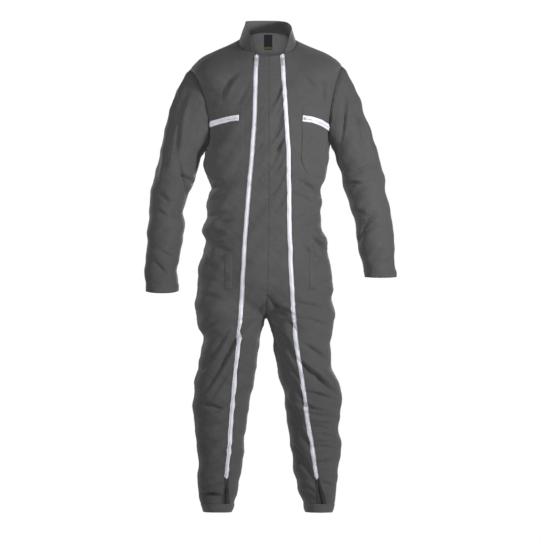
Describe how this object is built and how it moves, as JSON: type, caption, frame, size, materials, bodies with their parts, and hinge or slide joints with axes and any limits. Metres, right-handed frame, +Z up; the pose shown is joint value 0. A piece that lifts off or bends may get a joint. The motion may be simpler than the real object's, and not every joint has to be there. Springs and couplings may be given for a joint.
{
  "type": "boiler suit",
  "caption": "Long-sleeved boiler suit with stand collar, full-length front zips, zipped chest pockets and tapered legs, in its hollow worn form.",
  "frame": {"origin": "middle of the line through both shoulders, where the wearer's shoulders hold the suit", "axes": "+Z up from hem to collar, -Y out of the front, +X towards the side that is on the right when the suit is seen from the front"},
  "size_m": [0.803, 0.279, 1.5741],
  "materials": {
    "cloth": "matt charcoal grey twill",
    "gusset": "matt near-black cloth",
    "zip_tape": "white zip tape with moulded teeth",
    "zip_hardware": "white painted zip slider and pull",
    "label": "plain black satin label"
  },
  "bodies": {
    "root": {"front_centre_left": "cloth", "front_side_left": "cloth", "back_left": "cloth", "sleeve_left": "cloth", "chest_pocket_left": "cloth", "hip_welt_left": "cloth", "hem_band_left": "cloth", "ankle_gusset_left": "gusset", "zip_front_left": "zip_tape", "zip_chest_left": "zip_tape", "slider_front_left": "zip_hardware", "slider_chest_left": "zip_hardware", "front_centre_right": "cloth", "front_side_right": "cloth", "back_right": "cloth", "sleeve_right": "cloth", "chest_pocket_right": "cloth", "hip_welt_right": "cloth", "hem_band_right": "cloth", "ankle_gusset_right": "gusset", "zip_front_right": "zip_tape", "zip_chest_right": "zip_tape", "slider_front_right": "zip_hardware", "slider_chest_right": "zip_hardware", "collar": "cloth", "neck_label": "label"},
    "pull_chest_left": {"pull_chest_left": "zip_hardware"},
    "pull_chest_right": {"pull_chest_right": "zip_hardware"},
    "pull_front_left": {"pull_front_left": "zip_hardware"},
    "pull_front_right": {"pull_front_right": "zip_hardware"}
  },
  "joints": [
    {"name": "pull_chest_left_hinge", "type": "hinge", "parent": "root", "child": "pull_chest_left", "pos_m": [-0.10362, -0.1217, -0.18871], "axis": [-0.0616, 0.0018, 0.9981], "range_deg": [0, 150]},
    {"name": "pull_chest_right_hinge", "type": "hinge", "parent": "root", "child": "pull_chest_right", "pos_m": [0.12426, -0.11481, -0.19001], "axis": [-0.0699, 0.0136, -0.9975], "range_deg": [0, 150]},
    {"name": "pull_front_left_hinge", "type": "hinge", "parent": "root", "child": "pull_front_left", "pos_m": [-0.03711, -0.09607, -0.00189], "axis": [-0.9904, 0.1377, -0.0143], "range_deg": [0, 150]},
    {"name": "pull_front_right_hinge", "type": "hinge", "parent": "root", "child": "pull_front_right", "pos_m": [0.04772, -0.09299, 0.0001], "axis": [-0.982, -0.1878, 0.0177], "range_deg": [0, 150]}
  ]
}
